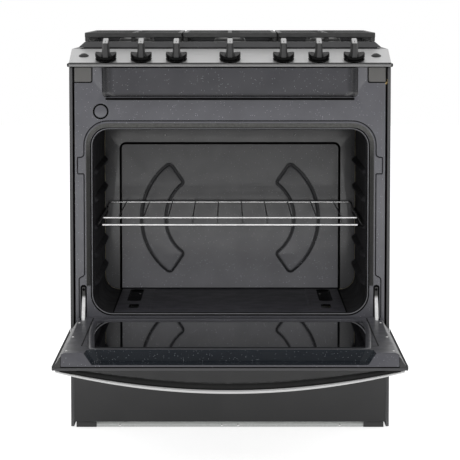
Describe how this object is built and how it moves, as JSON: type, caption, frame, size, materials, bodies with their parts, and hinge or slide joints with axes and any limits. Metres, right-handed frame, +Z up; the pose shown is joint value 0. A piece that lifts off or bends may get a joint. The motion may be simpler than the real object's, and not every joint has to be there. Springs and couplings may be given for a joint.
{
  "type": "freestanding gas range",
  "caption": "Freestanding gas range with drop-down oven door, wire rack, storage drawer, cast-iron grates and a sloping panel of push-and-turn knobs.",
  "frame": {"origin": "middle of the base frame's underside, on the floor", "axes": "+Z up, -Y towards the person at the oven door, +X to that person's right"},
  "size_m": [0.7644, 1.265, 0.9362],
  "materials": {
    "galvanised_steel": "dull zinc coat",
    "black_bracket": "satin black",
    "side_paint": "satin grey",
    "speckled_enamel": "gloss porcelain with fine speckle",
    "liner_enamel": "gloss porcelain with fine speckle",
    "door_enamel": "gloss porcelain with fine speckle",
    "cooktop_enamel": "gloss black porcelain",
    "black_plastic": "satin",
    "plate_grey": "satin",
    "screw_steel": "bright",
    "burner_steel": "aluminised tube",
    "lamp_glass": "clear",
    "gasket": "woven glass fibre",
    "glass_wool": "mineral wool blanket",
    "stainless": "brushed along the width",
    "drawer_paint": "satin dark grey",
    "dark_glass": "dark tint",
    "black_glass": "black mirror-like",
    "handle_metal": "satin",
    "trim_paint": "satin black",
    "knob_black": "satin black with bright inlay",
    "brass": "machined",
    "burner_aluminium": "cast",
    "cap_enamel": "matt enamel",
    "grate_iron": "matt enamel",
    "rack_chrome": "bright plated wire"
  },
  "bodies": {
    "chassis": {"base_frame": "galvanised_steel", "burner_caps": "cap_enamel", "burner_heads": "burner_aluminium", "chassis_screws": "screw_steel", "control_panel": "stainless", "cooktop": "cooktop_enamel", "cord_inlet_bush": "black_plastic", "corner_brackets": "black_bracket", "door_gasket": "gasket", "drawer_guides": "galvanised_steel", "frame_hole_plug": "black_plastic", "front_frame": "speckled_enamel", "gas_manifold": "burner_steel", "gas_supply_pipe": "brass", "gas_valves": "brass", "hinge_arms": "galvanised_steel", "knob_bezels": "knob_black", "oven_back_wall": "speckled_enamel", "oven_burners": "burner_steel", "oven_floor_panel": "speckled_enamel", "oven_insulation": "glass_wool", "oven_lamp": "lamp_glass", "oven_liner": "liner_enamel", "panel_corner_brackets": "plate_grey", "panel_end_caps": "black_plastic", "rear_panel": "galvanised_steel", "rear_vent_trim": "cooktop_enamel", "side_panel_left": "side_paint", "side_panel_right": "side_paint"},
    "oven_door": {"door_outer_panel": "stainless", "door_outer_glass": "dark_glass", "door_inner_liner": "door_enamel", "door_inner_glass": "black_glass", "door_insulation": "glass_wool", "door_hinge_bodies": "galvanised_steel", "door_hinge_pins": "galvanised_steel", "door_handle": "handle_metal", "door_side_trims": "trim_paint", "door_screws": "screw_steel"},
    "storage_drawer": {"drawer_front": "drawer_paint", "drawer_box": "galvanised_steel"},
    "oven_rack_body": {"oven_rack": "rack_chrome"},
    "left_grate": {"grate_left": "grate_iron"},
    "centre_grate": {"grate_centre": "grate_iron"},
    "right_grate": {"grate_right": "grate_iron"},
    "ignition_push": {"ignition_button": "black_plastic"},
    "light_push": {"light_button": "black_plastic"},
    "oven_dial": {"oven_knob": "knob_black"},
    "stem_1": {"valve_stem_1": "brass"},
    "dial_1": {"burner_knob_1": "knob_black"},
    "stem_2": {"valve_stem_2": "brass"},
    "dial_2": {"burner_knob_2": "knob_black"},
    "stem_3": {"valve_stem_3": "brass"},
    "dial_3": {"burner_knob_3": "knob_black"},
    "stem_4": {"valve_stem_4": "brass"},
    "dial_4": {"burner_knob_4": "knob_black"},
    "stem_5": {"valve_stem_5": "brass"},
    "dial_5": {"burner_knob_5": "knob_black"},
    "stem_6": {"valve_stem_6": "brass"},
    "dial_6": {"burner_knob_6": "knob_black"}
  },
  "joints": [
    {"name": "door_hinge", "type": "hinge", "parent": "chassis", "child": "oven_door", "pos_m": [0, -0.341, 0.25], "axis": [-1, 0, 0], "range_deg": [0, 90]},
    {"name": "rack_slide", "type": "slide", "parent": "chassis", "child": "oven_rack_body", "axis": [0, 1, 0], "range_m": [-0.25, 0]},
    {"name": "drawer_slide", "type": "slide", "parent": "chassis", "child": "storage_drawer", "axis": [0, -1, 0], "range_m": [0, 0.38]},
    {"name": "left_grate_lift", "type": "slide", "parent": "chassis", "child": "left_grate", "axis": [0, 0, 1], "range_m": [0, 0.06]},
    {"name": "centre_grate_lift", "type": "slide", "parent": "chassis", "child": "centre_grate", "axis": [0, 0, 1], "range_m": [0, 0.06]},
    {"name": "right_grate_lift", "type": "slide", "parent": "chassis", "child": "right_grate", "axis": [0, 0, 1], "range_m": [0, 0.06]},
    {"name": "ignition_press", "type": "slide", "parent": "chassis", "child": "ignition_push", "axis": [0, 0.2557, -0.9668], "range_m": [0, 0.003], "stiffness_N_per_m": 1000, "springref_m": -0.003},
    {"name": "light_press", "type": "slide", "parent": "chassis", "child": "light_push", "axis": [0, 0.2557, -0.9668], "range_m": [0, 0.003], "stiffness_N_per_m": 1000, "springref_m": -0.003},
    {"name": "oven_dial_turn", "type": "hinge", "parent": "chassis", "child": "oven_dial", "pos_m": [0, -0.31238, 0.87278], "axis": [0, -0.2557, 0.9668], "range_deg": [0, 280]},
    {"name": "dial_1_press", "type": "slide", "parent": "chassis", "child": "stem_1", "axis": [0, 0.2557, -0.9668], "range_m": [0, 0.003], "stiffness_N_per_m": 2000, "springref_m": -0.003},
    {"name": "dial_1_turn", "type": "hinge", "parent": "stem_1", "child": "dial_1", "pos_m": [-0.292, -0.31238, 0.87278], "axis": [0, -0.2557, 0.9668], "range_deg": [0, 225]},
    {"name": "dial_2_press", "type": "slide", "parent": "chassis", "child": "stem_2", "axis": [0, 0.2557, -0.9668], "range_m": [0, 0.003], "stiffness_N_per_m": 2000, "springref_m": -0.003},
    {"name": "dial_2_turn", "type": "hinge", "parent": "stem_2", "child": "dial_2", "pos_m": [-0.209, -0.31238, 0.87278], "axis": [0, -0.2557, 0.9668], "range_deg": [0, 225]},
    {"name": "dial_3_press", "type": "slide", "parent": "chassis", "child": "stem_3", "axis": [0, 0.2557, -0.9668], "range_m": [0, 0.003], "stiffness_N_per_m": 2000, "springref_m": -0.003},
    {"name": "dial_3_turn", "type": "hinge", "parent": "stem_3", "child": "dial_3", "pos_m": [-0.126, -0.31238, 0.87278], "axis": [0, -0.2557, 0.9668], "range_deg": [0, 225]},
    {"name": "dial_4_press", "type": "slide", "parent": "chassis", "child": "stem_4", "axis": [0, 0.2557, -0.9668], "range_m": [0, 0.003], "stiffness_N_per_m": 2000, "springref_m": -0.003},
    {"name": "dial_4_turn", "type": "hinge", "parent": "stem_4", "child": "dial_4", "pos_m": [0.126, -0.31238, 0.87278], "axis": [0, -0.2557, 0.9668], "range_deg": [0, 225]},
    {"name": "dial_5_press", "type": "slide", "parent": "chassis", "child": "stem_5", "axis": [0, 0.2557, -0.9668], "range_m": [0, 0.003], "stiffness_N_per_m": 2000, "springref_m": -0.003},
    {"name": "dial_5_turn", "type": "hinge", "parent": "stem_5", "child": "dial_5", "pos_m": [0.209, -0.31238, 0.87278], "axis": [0, -0.2557, 0.9668], "range_deg": [0, 225]},
    {"name": "dial_6_press", "type": "slide", "parent": "chassis", "child": "stem_6", "axis": [0, 0.2557, -0.9668], "range_m": [0, 0.003], "stiffness_N_per_m": 2000, "springref_m": -0.003},
    {"name": "dial_6_turn", "type": "hinge", "parent": "stem_6", "child": "dial_6", "pos_m": [0.292, -0.31238, 0.87278], "axis": [0, -0.2557, 0.9668], "range_deg": [0, 225]}
  ]
}
